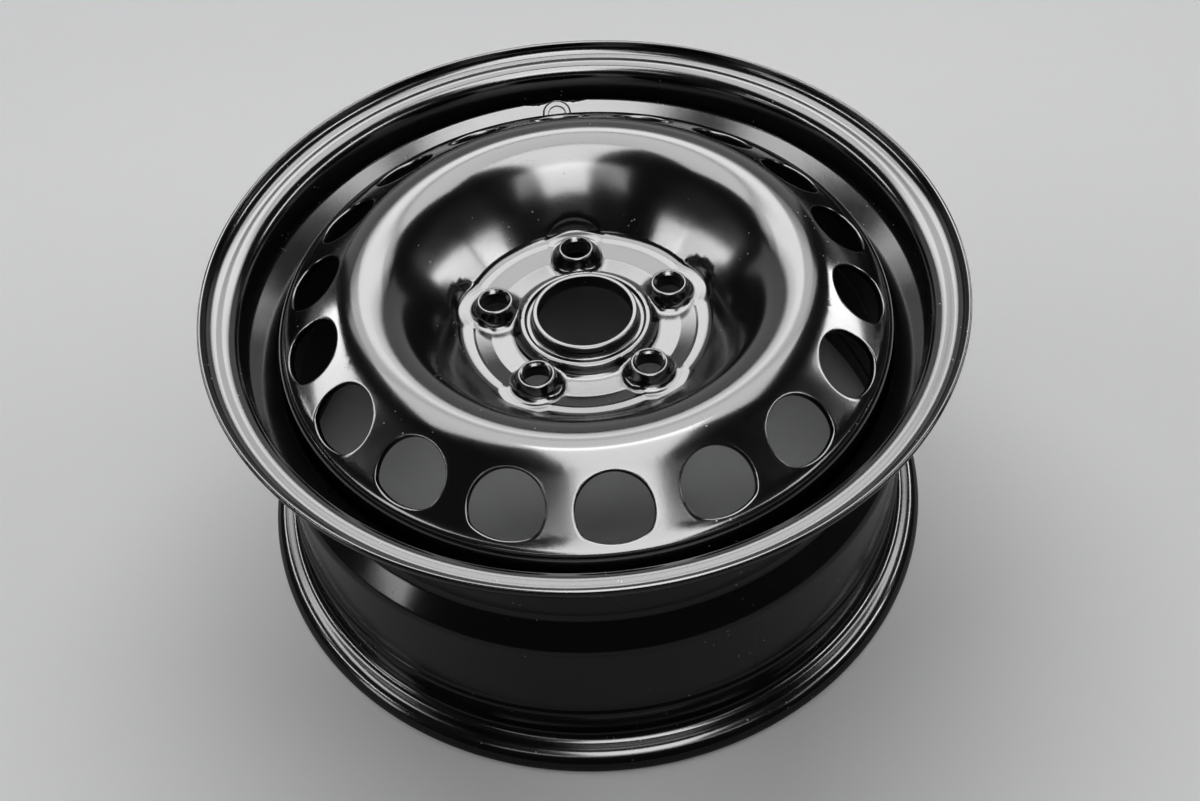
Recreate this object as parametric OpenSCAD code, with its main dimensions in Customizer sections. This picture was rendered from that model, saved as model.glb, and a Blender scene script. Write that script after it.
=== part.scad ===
// Pressed and welded steel car wheel: a rolled drop-centre rim, a pressed ventilated disc and
// the arc weld seams that join them.
// The origin is the centre of the hub bore in the plane of the hub face. +Z points outboard.
// +Y runs through the valve hole, one wheel bolt hole and one vent.

/* [Rim contour] */
// Diameter of the bead seats at the flanges
rim_diameter = 405.6; // [396:0.1:430]
// Width between the flanges
rim_width = 177.8; // [165:0.1:204]
// Thickness of the rolled rim strip
rim_sheet = 2.5; // [2.2:0.1:3]
// Height of a flange above its bead seat
flange_height = 17.3; // [16:0.1:19]
// Axial width of a flange, from its face to the end of its lip
flange_width = 11; // [10.8:0.1:13]
// Radius of the curl of a flange
flange_curl = 9.5; // [7:0.1:9.6]
// Radius between a flange and its bead seat
seat_fillet = 6.5; // [4:0.1:7]
// Axial width of a bead seat
seat_width = 19.8; // [18:0.1:21]
// Taper of the bead seats in degrees
seat_taper = 5; // [3:0.5:7]
// Height of the safety humps above the inner end of their seats
hump_height = 1.6; // [1:0.1:2]
// Axial distance from the inner end of a seat to the ridge of its hump
hump_rise = 4.5; // [4:0.1:6]

/* [Rim well and ledge] */
// Depth of the well below the bead seats
well_depth = 18.9; // [17.5:0.1:21]
// Width of the floor of the well
well_width = 38; // [32:0.5:42]
// Angle of the well's outboard wall from the wheel axis in degrees
outboard_wall_angle = 56; // [50:1:62]
// Angle of the well's inboard wall from the wheel axis in degrees
inboard_wall_angle = 40; // [30:1:50]
// Height of the ledge above the floor of the well
ledge_height = 13.1; // [11:0.1:15]
// Taper of the ledge towards the inboard hump in degrees
ledge_taper = 2.3; // [0.5:0.1:3]
// Radius of the bends at the well and the ledge
well_bend = 9; // [6:0.5:10]

/* [Valve hole] */
// Diameter of the valve hole
valve_hole_d = 11.3; // [8.3:0.1:16]
// Diameter of the flat pad round the valve hole
valve_pad_d = 18.6; // [17:0.1:19]
// Height of the flat pad above the wall of the well
valve_pad_lift = 0.8; // [0.5:0.1:1]

/* [Disc form] */
// Distance from the rim centre line to the hub face
wheel_offset = 45; // [38:0.5:50]
// Thickness of the disc
disc_sheet = 4; // [3.5:0.1:4.4]
// Height of the crown above the hub face
crown_height = 52.8; // [48:0.1:56]
// Radius at which the side of the bowl would reach the height of the crown
bowl_top_r = 114.3; // [111:0.1:117]
// Width of the crown between the lines of its two slopes
crown_width = 22; // [21.6:0.1:25]
// Radius of the crown's outward bend
crown_outer_bend = 32; // [24:0.5:33]
// Radius of the crown's bend into the bowl
crown_inner_bend = 24; // [18:0.5:26]
// Radius at which the side of the bowl would reach its foot
bowl_foot_r = 75.4; // [74.9:0.1:77]
// Radius of the bend at the foot of the bowl
bowl_foot_bend = 8.5; // [6:0.5:9]
// Slope of the ventilated zone in degrees
vent_slope = 34.2; // [31:0.1:36]
// Width of the shoulder outside the vents
shoulder_width = 5.9; // [5.7:0.1:8]
// Slope of the shoulder in degrees
shoulder_slope = 10; // [5:1:14]
// Radius of the bend from the shoulder to the skirt
skirt_bend = 4.6; // [4.5:0.1:5]
// Length of the skirt that lies in the well
skirt_grip = 22; // [16:0.5:26]

/* [Vents] */
// Number of vents
vent_count = 18; // [12:1:18]
// Diameter of a vent
vent_d = 41; // [30:0.5:43]
// How much the outer side of a vent is flattened
vent_flat = 4.3; // [3:0.1:5]
// Radius of the flattened outer side of a vent
vent_flat_r = 34; // [28:1:40]
// Radius of the corners beside the flattened side
vent_corner_r = 9.5; // [6:0.5:11]

/* [Hub] */
// Diameter of the hub bore
hub_bore_d = 57.1; // [54:0.1:60.1]
// Height of the drawn collar round the hub bore
collar_height = 16.5; // [14:0.5:20]
// Thickness of the wall of the collar
collar_wall = 3.1; // [2.6:0.1:3.6]
// Height of the stiffening ring round the collar
hub_ring_height = 10.6; // [9.5:0.1:12]
// Radius to the middle of the stiffening ring
hub_ring_r = 38.2; // [37.6:0.1:39]
// Inner radius of the flat hub face
hub_face_inner_r = 43.4; // [43:0.1:45]
// Outer radius of the flat hub face
hub_face_outer_r = 62; // [59:0.5:64]
// Radius of the outline of the hub pad
hub_pad_r = 71; // [69:0.1:72]
// Rise of the hub pad towards its outline
hub_pad_rise = 2.4; // [1.6:0.1:2.8]
// Height of the step along the outline of the hub pad
hub_pad_step = 0.6; // [0.4:0.1:1]

/* [Wheel bolts] */
// Number of bolt holes
bolt_count = 5; // [3:1:5]
// Diameter of the bolt circle
bolt_circle_d = 112; // [108:0.1:114.3]
// Diameter of a bolt hole
bolt_hole_d = 15; // [14:0.1:15.5]
// Radius of the ball seat of a bolt
bolt_ball_r = 13; // [12:0.1:14]
// Height of the ball seats above the hub face
boss_height = 15.2; // [14:0.1:17]
// Outer radius of the top of a bolt boss
boss_top_r = 11; // [10.6:0.1:11.4]
// Outer radius of the foot of a bolt boss
boss_foot_r = 17; // [16.6:0.1:17.6]
// Radius of the lobe of the hub pad round a boss
boss_lobe_r = 20.5; // [19:0.1:21]

/* [Weld seams] */
// Number of weld seams
seam_count = 8; // [4:1:10]
// Length of a weld seam
seam_length = 62; // [40:1:80]
// Leg of a weld seam
seam_leg = 3.6; // [2.6:0.1:3.9]

/* [Hidden] */
$fn = 96;
arc_step = 7;
over = 1;
enamel = [0.07, 0.07, 0.075];
enamel_bead = [0.10, 0.10, 0.11];

// Radii and heights along the rim contour, on the tyre side
seat_r = rim_diameter / 2;
edge_r = seat_r + flange_height;
seat_end_r = seat_r - seat_width * tan(seat_taper);
hump_r = seat_end_r + hump_height;
hump_from_face = seat_width + hump_rise;
hump_bend = 4.2;
seat_end_bend = 3;
ledge_end_bend = 4;
well_r = seat_r - well_depth;
rim_centre_z = -wheel_offset;
outboard_hump_z = rim_centre_z + rim_width / 2 - hump_from_face;
inboard_hump_z = rim_centre_z - rim_width / 2 + hump_from_face;
well_top_z = outboard_hump_z - (hump_r - well_r) / tan(outboard_wall_angle);
well_bottom_z = well_top_z - well_width;
ledge_r = well_r + ledge_height;
ledge_top_z = well_bottom_z - ledge_height / tan(inboard_wall_angle);
hump_flank = 3.4; // axial length of the flank between the inboard hump and the ledge
ledge_end_z = inboard_hump_z + hump_flank;
ledge_end_r = ledge_r + (ledge_top_z - ledge_end_z) * tan(ledge_taper);

// Radii and heights along the disc, on its outboard side
skirt_r = well_r - rim_sheet;
skirt_end_z = well_top_z - skirt_grip;
shoulder_r = skirt_r - shoulder_width;
crown_outer_r = bowl_top_r + crown_width;
shoulder_z = crown_height - (shoulder_r - crown_outer_r) * tan(vent_slope);
skirt_top_z = shoulder_z - shoulder_width * tan(shoulder_slope);
shoulder_bend = 8;
hub_pad_z = disc_sheet;
hub_pad_edge_z = hub_pad_z + hub_pad_rise;
pad_edge_bend = 8;
step_draft = 0.8;
step_bend = 0.8;
foot_rise = 0.6;
bowl_foot_z = hub_pad_edge_z + hub_pad_step + foot_rise;

// Vents: their middle lies halfway along the straight slope between the crown and the shoulder
vent_zone_start_r = crown_outer_r + crown_outer_bend * tan(vent_slope / 2) * cos(vent_slope);
vent_r = (vent_zone_start_r + shoulder_r) / 2 + vent_flat / 2 * cos(vent_slope);
vent_z = crown_height - (vent_r - crown_outer_r) * tan(vent_slope);

// Hub, with the small bends and the draft of its drawn collar and ring
bore_r = hub_bore_d / 2;
collar_r = bore_r + collar_wall;
collar_bend = 1.2;
collar_draft = 0.8;
bore_edge = 0.6;
groove_z = hub_ring_height - 1.7;
groove_bend = 1.6;
ring_half_width = 1.5;
ring_flank = 1.2;
ring_bend = 0.8;
ring_outer_bend = 2;
hub_face_bend = 3;
hub_lip_z = hub_ring_height - disc_sheet - 1;
hub_lip_bend = 3;

// Bolt bosses: the sheet is a little thinner where it is drawn into them
bolt_r = bolt_circle_d / 2;
boss_floor_z = hub_pad_edge_z;
boss_sheet = 0.9 * disc_sheet;
boss_edge_bend = 1.2;
boss_wall = 2.6;
boss_draft = 0.5;
boss_neck_bend = 3;
boss_foot_bend = 4; // fillet between a boss and the pad
boss_knee_r = boss_foot_r - boss_foot_bend;
boss_knee_rise = 0.3;
boss_foot_sink = 0.7;
boss_mouth_rise = 1.8; // where the hollow under a boss starts to open
boss_mouth_bend = 3;
boss_roof_bend = 1;
seat_land = 1.4;
seat_opening_r = boss_top_r - seat_land;
ball_z = boss_height + sqrt(bolt_ball_r * bolt_ball_r - seat_opening_r * seat_opening_r);
lobe_start_r = (hub_face_inner_r + hub_face_outer_r) / 2;

// Vectors in the plane of a section
function flat(p) = [p[0], p[1]];
function unit(v) = v / norm(v);
function side_of(v) = [-v[1], v[0]];
function turn_of(u, v) = sign(u[0] * v[1] - u[1] * v[0]);
function turned(v, a) = [v[0] * cos(a) - v[1] * sin(a), v[0] * sin(a) + v[1] * cos(a)];
function reversed(list) = [for (i = [len(list) - 1:-1:0]) list[i]];

// The arc of radius r that rounds corner b of the path a, b, c
function corner_arc(a, b, c, r) =
    let (back = unit(a - b), ahead = unit(c - b),
         half = acos(back * ahead) / 2,
         centre = b + unit(back + ahead) * r / sin(half),
         start = b + back * r / tan(half) - centre,
         sweep = -turn_of(back, ahead) * (180 - 2 * half),
         steps = max(2, ceil(abs(sweep) / arc_step)))
    [for (i = [0:steps]) centre + turned(start, sweep * i / steps)];

// A path of corners [r, z, bend radius] with every bend drawn
function bent(path) =
    [for (i = [0:len(path) - 1])
        each (i == 0 || i == len(path) - 1 || path[i][2] == 0)
            ? [flat(path[i])]
            : corner_arc(flat(path[i - 1]), flat(path[i]), flat(path[i + 1]), path[i][2])];

// The path that runs a distance t beside another, on its left
function beside(path, t) =
    [for (i = [0:len(path) - 1])
        let (p = flat(path[i]),
             before = i == 0 ? unit(flat(path[1]) - p) : unit(p - flat(path[i - 1])),
             after = i == len(path) - 1 ? before : unit(flat(path[i + 1]) - p),
             n1 = side_of(before), n2 = side_of(after),
             q = p + t * (n1 + n2) / (1 + n1 * n2),
             bend = path[i][2] - t * turn_of(before, after))
        [q[0], q[1], path[i][2] == 0 ? 0 : max(bend, 0.3)]];

// The half round that closes a sheet's end from point a to point b
function half_round(a, b) =
    let (centre = (a + b) / 2)
    [for (i = [1:5]) centre + turned(a - centre, 180 * i / 6)];

// Section of a sheet of thickness t on the left of a path, with both ends rounded
module sheet_section(path, t) {
    near = bent(path);
    far = reversed(bent(beside(path, t)));
    polygon(concat(near, half_round(near[len(near) - 1], far[0]),
                   far, half_round(far[len(far) - 1], near[0])));
}

// Copies at equal angles, the first one on the +Y axis
module around(count) {
    for (i = [0:count - 1]) rotate([0, 0, 90 + i * 360 / count]) children();
}

// Corners of a flange, its bead seat and its hump, from the lip inwards.
// side is 1 for the outboard flange and -1 for the inboard one.
function bead_path(side) =
    let (face = rim_width / 2)
    [for (p = [[edge_r, face + flange_width - rim_sheet / 2, 0],
               [edge_r, face, flange_curl],
               [seat_r, face, seat_fillet],
               [seat_end_r, face - seat_width, seat_end_bend],
               [hump_r, face - hump_from_face, hump_bend]])
        [p[0], rim_centre_z + side * p[1], p[2]]];

// The rim contour on the tyre side, from the inboard lip to the outboard lip
rim_path = concat(
    bead_path(-1),
    [[ledge_end_r, ledge_end_z, ledge_end_bend],
     [ledge_r, ledge_top_z, well_bend],
     [well_r, well_bottom_z, well_bend],
     [well_r, well_top_z, well_bend]],
    reversed(bead_path(1)));

// Carries a shape to the middle of the well's outboard wall, with +Z along the wall's normal
// on the weather side
valve_drop = (hump_r + well_r) / 2 - rim_sheet * sin(90 - outboard_wall_angle);
valve_z = (outboard_hump_z + well_top_z) / 2 + rim_sheet * sin(outboard_wall_angle);
module at_valve() {
    translate([0, valve_drop, valve_z]) rotate([90 - outboard_wall_angle, 0, 0]) children();
}

// Rolled rim: one strip, bent to the contour, welded into a hoop and pierced for the valve
module rim() {
    color(enamel)
    difference() {
        union() {
            rotate_extrude() sheet_section(rim_path, rim_sheet);
            at_valve() translate([0, 0, -rim_sheet / 2])
                cylinder(h = rim_sheet / 2 + valve_pad_lift, d = valve_pad_d);
        }
        at_valve() translate([0, 0, -rim_sheet - over])
            cylinder(h = over + valve_pad_lift, d = valve_pad_d - rim_sheet);
        at_valve() translate([0, 0, -2 * rim_sheet]) cylinder(h = 4 * rim_sheet, d = valve_hole_d);
    }
}

// Outboard face of the disc, from inside the bore out to the end of the skirt
disc_path = [
    [0, collar_height, 0],
    [collar_r, collar_height, collar_bend],
    [collar_r + collar_draft, groove_z, groove_bend],
    [hub_ring_r - ring_half_width - ring_flank, groove_z, ring_bend],
    [hub_ring_r - ring_half_width, hub_ring_height, ring_bend],
    [hub_ring_r + ring_half_width, hub_ring_height, ring_outer_bend],
    [hub_face_inner_r, hub_pad_z, hub_face_bend],
    [hub_face_outer_r, hub_pad_z, pad_edge_bend],
    [hub_pad_r - step_draft, hub_pad_edge_z, 0],
    [hub_pad_r, hub_pad_edge_z + hub_pad_step, step_bend],
    [bowl_foot_r, bowl_foot_z, bowl_foot_bend],
    [bowl_top_r, crown_height, crown_inner_bend],
    [crown_outer_r, crown_height, crown_outer_bend],
    [shoulder_r, shoulder_z, shoulder_bend],
    [skirt_r, skirt_top_z, skirt_bend],
    [skirt_r, skirt_end_z, 0]];
hub_face_corner = 6;

// Hub side of the disc: the drawn lip of the bore, the ring's flank, then the outboard face
// carried inwards by the thickness of the sheet
disc_offset = beside(disc_path, -disc_sheet);
disc_under_path = concat(
    [[bore_r, hub_lip_z + 2 * hub_lip_bend, 0],
     [bore_r, hub_lip_z, hub_lip_bend],
     [hub_ring_r, hub_lip_z, ring_outer_bend]],
    [for (i = [hub_face_corner:len(disc_path) - 1]) disc_offset[i]]);

// Everything below the outboard face
module outer_form() {
    rotate_extrude() polygon(concat([[0, skirt_end_z]], bent(disc_path)));
}

// Everything below the hub side
module under_form() {
    low_z = skirt_end_z - over;
    rotate_extrude() polygon(concat(
        [[0, low_z], [0, hub_lip_z + 2 * hub_lip_bend]],
        bent(disc_under_path),
        [[skirt_r - disc_sheet, low_z]]));
}

// Round recess of the hub pad's outline beside each bolt boss, open upwards from a floor
module lobes(r, floor_z) {
    difference() {
        around(bolt_count) translate([bolt_r, 0, floor_z]) cylinder(h = crown_height, r = r);
        translate([0, 0, floor_z - over]) cylinder(h = crown_height + 2 * over, r = lobe_start_r);
    }
}

// Outside of a bolt boss, a round hill with a wide fillet at its foot
module boss_outside() {
    foot_z = hub_pad_z - boss_foot_sink;
    path = [[0, boss_height, 0],
            [boss_top_r, boss_height, boss_edge_bend],
            [boss_top_r + boss_draft, boss_height - boss_wall, boss_neck_bend],
            [boss_knee_r, hub_pad_z + boss_knee_rise, boss_foot_bend],
            [boss_foot_r, foot_z, 0]];
    rotate_extrude() polygon(concat([[0, foot_z]], bent(path)));
}

// Hollow under a bolt boss, whose mouth opens at 45 degrees
module boss_inside() {
    top_z = boss_height - disc_sheet;
    top_r = boss_top_r + boss_edge_bend - boss_sheet;
    waist_r = boss_knee_r - 0.75 * boss_sheet;
    path = [[0, top_z, 0],
            [top_r, top_z, boss_roof_bend],
            [waist_r, boss_mouth_rise, boss_mouth_bend],
            [waist_r + boss_mouth_rise + over, -over, 0]];
    rotate_extrude() polygon(concat([[0, -over]], bent(path)));
}

// Bolt hole and its ball seat
module bolt_cut() {
    cylinder(h = boss_height + over, d = bolt_hole_d);
    translate([0, 0, ball_z]) sphere(r = bolt_ball_r);
}

// Outline of a vent: a circle whose outer side is flattened, with round corners between them.
// The outer side faces +X.
module vent_outline() {
    r = vent_d / 2;
    c = vent_corner_r;
    flat_x = r - vent_flat - vent_flat_r;
    from_middle = r - c;
    from_flat = vent_flat_r - c;
    corner_x = (from_middle ^ 2 - from_flat ^ 2 + flat_x ^ 2) / (2 * flat_x);
    corner_y = sqrt(from_middle ^ 2 - corner_x ^ 2);
    join = unit([corner_x, corner_y]) * r;
    ease = [flat_x, 0] + unit([corner_x - flat_x, corner_y]) * vent_flat_r;
    intersection() {
        circle(r = r);
        translate([flat_x, 0]) circle(r = vent_flat_r);
        union() {
            for (m = [-1, 1]) translate([corner_x, m * corner_y]) circle(r = c);
            polygon([[-2 * r, -2 * r], [join[0], -2 * r], [join[0], -join[1]], [corner_x, -corner_y],
                     [ease[0], -ease[1]], [2 * r, -ease[1] * 1.2], [2 * r, ease[1] * 1.2],
                     [ease[0], ease[1]], [corner_x, corner_y], join, [join[0], 2 * r],
                     [-2 * r, 2 * r]]);
        }
    }
}

// Cutter of a vent, square to the slope of the ventilated zone
module vent_cut() {
    translate([vent_r, 0, vent_z]) rotate([0, vent_slope, 0])
        translate([0, 0, -4 * disc_sheet]) linear_extrude(7 * disc_sheet) vent_outline();
}

// Pressed disc: a bowl with the hub pad, a crown, the ventilated zone and the skirt that is
// pressed into the well
module disc() {
    color(enamel)
    difference() {
        union() {
            difference() {
                outer_form();
                lobes(boss_lobe_r, boss_floor_z);
            }
            around(bolt_count) translate([bolt_r, 0, 0]) boss_outside();
        }
        difference() {
            under_form();
            lobes(boss_lobe_r + boss_sheet, boss_floor_z - disc_sheet);
        }
        around(bolt_count) translate([bolt_r, 0, 0]) {
            boss_inside();
            bolt_cut();
        }
        around(vent_count) vent_cut();
        translate([0, 0, -over]) cylinder(h = collar_height + 2 * over, d = hub_bore_d);
        translate([0, 0, collar_height - bore_edge])
            cylinder(h = bore_edge + over, r1 = bore_r, r2 = bore_r + bore_edge + over);
    }
}

// Fillet weld between the end of the skirt and the well, one of seam_count
seam_angle = seam_length / (2 * PI * skirt_r) * 360;
module weld_seam(i) {
    color(enamel_bead)
    rotate([0, 0, 90 + (i - 0.5) * 360 / seam_count - seam_angle / 2])
        rotate_extrude(angle = seam_angle) intersection() {
            translate([skirt_r, skirt_end_z]) circle(r = seam_leg);
            translate([skirt_r - 2 * seam_leg, skirt_end_z - 2 * seam_leg]) square(2 * seam_leg);
        }
}

rim();
disc();
for (i = [1:seam_count])
    weld_seam(i);
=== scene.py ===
"""Visual model of a pressed and welded steel car wheel: the rim and the disc as smooth sheet metal,
rippled weld seams, black dip enamel, and a plain pale studio."""

import math

import bmesh
import bpy
import numpy as np
from mathutils import Matrix, Vector
from mathutils.geometry import delaunay_2d_cdt


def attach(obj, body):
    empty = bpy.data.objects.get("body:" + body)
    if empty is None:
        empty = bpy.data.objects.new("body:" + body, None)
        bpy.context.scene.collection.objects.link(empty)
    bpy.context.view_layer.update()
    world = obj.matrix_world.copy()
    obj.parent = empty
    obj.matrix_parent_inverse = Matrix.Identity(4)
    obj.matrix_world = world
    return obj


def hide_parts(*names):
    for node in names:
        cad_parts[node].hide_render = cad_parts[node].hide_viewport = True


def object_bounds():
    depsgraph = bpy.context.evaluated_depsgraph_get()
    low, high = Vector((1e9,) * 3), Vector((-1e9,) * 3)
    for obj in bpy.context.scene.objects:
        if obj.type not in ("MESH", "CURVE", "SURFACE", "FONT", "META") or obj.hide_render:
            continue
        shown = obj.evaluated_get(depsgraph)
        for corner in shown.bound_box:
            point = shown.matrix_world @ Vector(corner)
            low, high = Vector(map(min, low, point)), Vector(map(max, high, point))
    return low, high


bl_info = {
    "name": "Steel Wheel",
    "version": (1, 0, 0),
    "blender": (4, 5, 0),
    "location": "3D View > Sidebar > Wheel",
    "description": "Builds a pressed and welded steel car wheel and its studio",
    "category": "Object",
}

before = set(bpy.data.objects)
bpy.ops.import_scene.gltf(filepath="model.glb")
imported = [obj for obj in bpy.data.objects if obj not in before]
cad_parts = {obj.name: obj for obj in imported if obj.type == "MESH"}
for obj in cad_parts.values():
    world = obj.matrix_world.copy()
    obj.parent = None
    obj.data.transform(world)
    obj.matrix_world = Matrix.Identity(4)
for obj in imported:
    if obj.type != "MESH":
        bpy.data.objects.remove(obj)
cad_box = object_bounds()

MM = 0.001

# Columns of mesh round the wheel's axis, and round the axis of a bolt
COLUMNS = 288
BOLT_COLUMNS = 64

# How far outside the hub pad's outline its lobes still shape the foot of the bowl
LOBE_FADE = 7 * MM

# Rings of mesh round a bolt at its lobe, as steps in mm from the lobe's radius
LOBE_STEPS = (-3.0, -2.5, -2.0, -1.4, -1.1, -0.8, -0.4, 0.1, 0.6, 1.1, 1.5, 1.9, 2.3, 2.7, 3.1, 3.6,
              4.1, 4.6, 5.2, 6.0, 7.0)

# The patch of mesh round the valve hole: columns and way on each side of its middle, and its
# rings at the pad's edge, as steps in mm from the pad's radius
VALVE_COLUMNS = 5
VALVE_REACH = 12.5 * MM
VALVE_STEPS = (-1.9, -1.3, -0.8, -0.5, -0.2, 0.1, 0.4, 0.7, 1.2)


# Sizes and colours

def length(name, description, default):
    """A size in metres."""
    return bpy.props.FloatProperty(
        name=name, description=description, default=default, precision=5, unit="LENGTH")


def angle(name, description, degrees):
    """An angle, given in degrees."""
    return bpy.props.FloatProperty(
        name=name, description=description, default=math.radians(degrees), unit="ROTATION")


def share(name, description, default, high=1.0):
    """A plain factor."""
    return bpy.props.FloatProperty(
        name=name, description=description, default=default, min=0.0, max=high, subtype="FACTOR")


def colour(name, description, default):
    """A colour without alpha."""
    return bpy.props.FloatVectorProperty(
        name=name, description=description, default=default, size=3, min=0.0, max=1.0,
        subtype="COLOR")


class RimSizes(bpy.types.PropertyGroup):
    """Contour of the rolled rim."""

    seat_d: length("Rim diameter", "Diameter of the bead seats at the flanges", 0.4056)
    width: length("Rim width", "Width between the flanges", 0.1778)
    sheet: length("Rim sheet", "Thickness of the rolled strip", 0.0025)
    flange_h: length("Flange height", "Height of a flange above its bead seat", 0.0172)
    flange_w: length("Flange width", "Axial width of a flange, to the end of its lip", 0.011)
    flange_curl: length("Flange curl", "Radius of the curl of a flange", 0.0095)
    seat_fillet: length("Seat fillet", "Radius between a flange and its bead seat", 0.0065)
    seat_w: length("Seat width", "Axial width of a bead seat", 0.0198)
    seat_taper: angle("Seat taper", "Taper of the bead seats", 5.0)
    hump_h: length("Hump height", "Height of the humps above the end of their seats", 0.0016)
    hump_rise: length("Hump rise", "Axial way from the end of a seat to its hump", 0.0045)
    well_depth: length("Well depth", "Depth of the well below the bead seats", 0.0189)
    well_w: length("Well width", "Width of the floor of the well", 0.038)
    outboard_wall: angle("Outboard wall", "Angle of the well's outboard wall", 56.0)
    inboard_wall: angle("Inboard wall", "Angle of the well's inboard wall", 40.0)
    ledge_h: length("Ledge height", "Height of the ledge above the well", 0.0131)
    ledge_taper: angle("Ledge taper", "Taper of the ledge", 2.3)
    well_bend: length("Well bend", "Radius of the bends at the well", 0.009)
    valve_hole_d: length("Valve hole", "Diameter of the valve hole", 0.0113)
    valve_pad_d: length("Valve pad", "Diameter of the flat pad round the valve hole", 0.0186)
    valve_pad_lift: length("Pad lift", "Height of the valve pad above the wall", 0.0008)
    butt_weld: angle("Butt weld", "Where the strip's ends are welded, from +X", 292.4)


class DiscSizes(bpy.types.PropertyGroup):
    """Form of the pressed disc."""

    offset: length("Wheel offset", "From the rim centre line to the hub face", 0.045)
    sheet: length("Disc sheet", "Thickness of the disc", 0.004)
    crown_z: length("Crown height", "Height of the crown above the hub face", 0.0528)
    bowl_top_r: length("Bowl top", "Radius at which the bowl's side would reach the crown", 0.1149)
    crown_w: length("Crown width", "Width of the crown between its two slopes", 0.0214)
    crown_outer_bend: length("Outer crown bend", "Radius of the crown's outward bend", 0.026)
    crown_inner_bend: length("Inner crown bend", "Radius of the bend into the bowl", 0.031)
    bowl_mid_r: length("Bowl side radius", "Radius at which the bowl's side gets steeper", 0.092)
    bowl_mid_z: length("Bowl side height", "Height at which the bowl's side gets steeper", 0.0281)
    bowl_foot_r: length("Bowl foot", "Radius at which the bowl's side reaches its foot", 0.0754)
    bowl_foot_bend: length("Foot bend", "Radius of the bend at the bowl's foot", 0.0065)
    slope: angle("Vent slope", "Slope of the ventilated zone", 34.2)
    shoulder_w: length("Shoulder width", "Width of the shoulder outside the vents", 0.0059)
    shoulder_slope: angle("Shoulder slope", "Slope of the shoulder", 10.0)
    skirt_bend: length("Skirt bend", "Radius from the shoulder to the skirt", 0.0046)
    skirt_grip: length("Skirt grip", "Length of the skirt that lies in the well", 0.022)
    vent_count: bpy.props.IntProperty(
        name="Vents", description="Number of vents", default=18, min=12, max=18)
    vent_r: length("Vent circle", "Radius to the middle of a vent", 0.16175)
    vent_d: length("Vent diameter", "Diameter of a vent", 0.041)
    vent_flat: length("Vent flattening", "How much a vent's outer side is flattened", 0.0043)
    vent_flat_r: length("Flattened side", "Radius of the flattened side of a vent", 0.034)
    vent_corner_r: length("Vent corners", "Radius of the corners beside that side", 0.0095)
    vent_edge: length("Vent edge", "Radius that punching leaves on a vent's edge", 0.0009)
    bore_d: length("Hub bore", "Diameter of the hub bore", 0.0571)
    collar_z: length("Collar height", "Height of the collar round the hub bore", 0.0165)
    collar_wall: length("Collar wall", "Thickness of the collar", 0.0031)
    ring_z: length("Ring height", "Height of the stiffening ring", 0.0106)
    ring_r: length("Ring radius", "Radius to the middle of the stiffening ring", 0.0382)
    face_inner_r: length("Face inner radius", "Inner radius of the hub face", 0.0434)
    face_outer_r: length("Face outer radius", "Outer radius of the hub face", 0.062)
    pad_flat_r: length("Pad flat", "Radius at which the pad starts to rise", 0.0575)
    pad_r: length("Pad radius", "Radius of the outline of the hub pad", 0.071)
    pad_rise: length("Pad rise", "Rise of the pad towards its outline", 0.0024)
    pad_step: length("Pad step", "Height of the step along the pad's outline", 0.0006)
    bolt_count: bpy.props.IntProperty(
        name="Bolt holes", description="Number of bolt holes", default=5, min=3, max=5)
    bolt_circle_d: length("Bolt circle", "Diameter of the bolt circle", 0.112)
    bolt_hole_d: length("Bolt hole", "Diameter of a bolt hole", 0.015)
    ball_r: length("Ball seat", "Radius of a bolt's ball seat", 0.013)
    boss_z: length("Boss height", "Height of the ball seats above the hub face", 0.0152)
    boss_top_r: length("Boss top", "Outer radius of the top of a boss", 0.011)
    boss_foot_r: length("Boss foot", "Outer radius of the foot of a boss", 0.0188)
    boss_fillet: length("Boss fillet", "Fillet between a boss and the pad", 0.0065)
    lobe_r: length("Lobe radius", "Radius of the pad's lobe round a boss", 0.0205)


class SeamSizes(bpy.types.PropertyGroup):
    """Arc weld seams between disc and rim."""

    count: bpy.props.IntProperty(
        name="Seams", description="Number of weld seams", default=8, min=4, max=10)
    seam_length: length("Seam length", "Length of a weld seam", 0.062)
    leg: length("Seam leg", "Leg of a weld seam", 0.0036)
    ripple: length("Ripple spacing", "Way between two ripples of a seam", 0.0016)


class EnamelLook(bpy.types.PropertyGroup):
    """Colours and gloss of the black dip enamel."""

    tone: colour("Enamel", "Colour of the black dip enamel", (0.0030, 0.0030, 0.0033))
    dust: colour("Dust", "Colour of dust and dry scuffs", (0.42, 0.41, 0.40))
    gloss: share("Roughness", "Roughness of the enamel on smooth steel", 0.15)
    orange_peel: share("Orange peel", "Strength of the enamel's fine waviness", 0.05)


class StudioLook(bpy.types.PropertyGroup):
    """Floor, lamps and camera."""

    paper: colour("Paper", "Colour of the paper floor", (0.62, 0.622, 0.63))
    camera_at: bpy.props.FloatVectorProperty(
        name="Camera place", description="Where the camera stands", size=3, precision=5,
        default=(-0.02733, -0.53209, 0.56784), subtype="TRANSLATION", unit="LENGTH")
    camera_turn: bpy.props.FloatVectorProperty(
        name="Camera turn", description="How the camera is turned", size=3, precision=5,
        default=(math.radians(39.8601), math.radians(2.2409), math.radians(-6.2442)),
        subtype="EULER", unit="ROTATION")
    lens: bpy.props.FloatProperty(
        name="Lens", description="Focal length of the camera in millimetres",
        default=38.26, unit="CAMERA")
    key: share("Overhead lamps", "Power factor of the overhead softboxes", 1.0, 10.0)
    fill: share("Room light", "Strength of the room's own light", 0.06, 10.0)


# Profiles of bent sheet

def unit(v):
    return v / np.hypot(v[0], v[1])


def turned(v, a):
    return np.array([v[0] * math.cos(a) - v[1] * math.sin(a), v[0] * math.sin(a) + v[1] * math.cos(a)])


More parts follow.
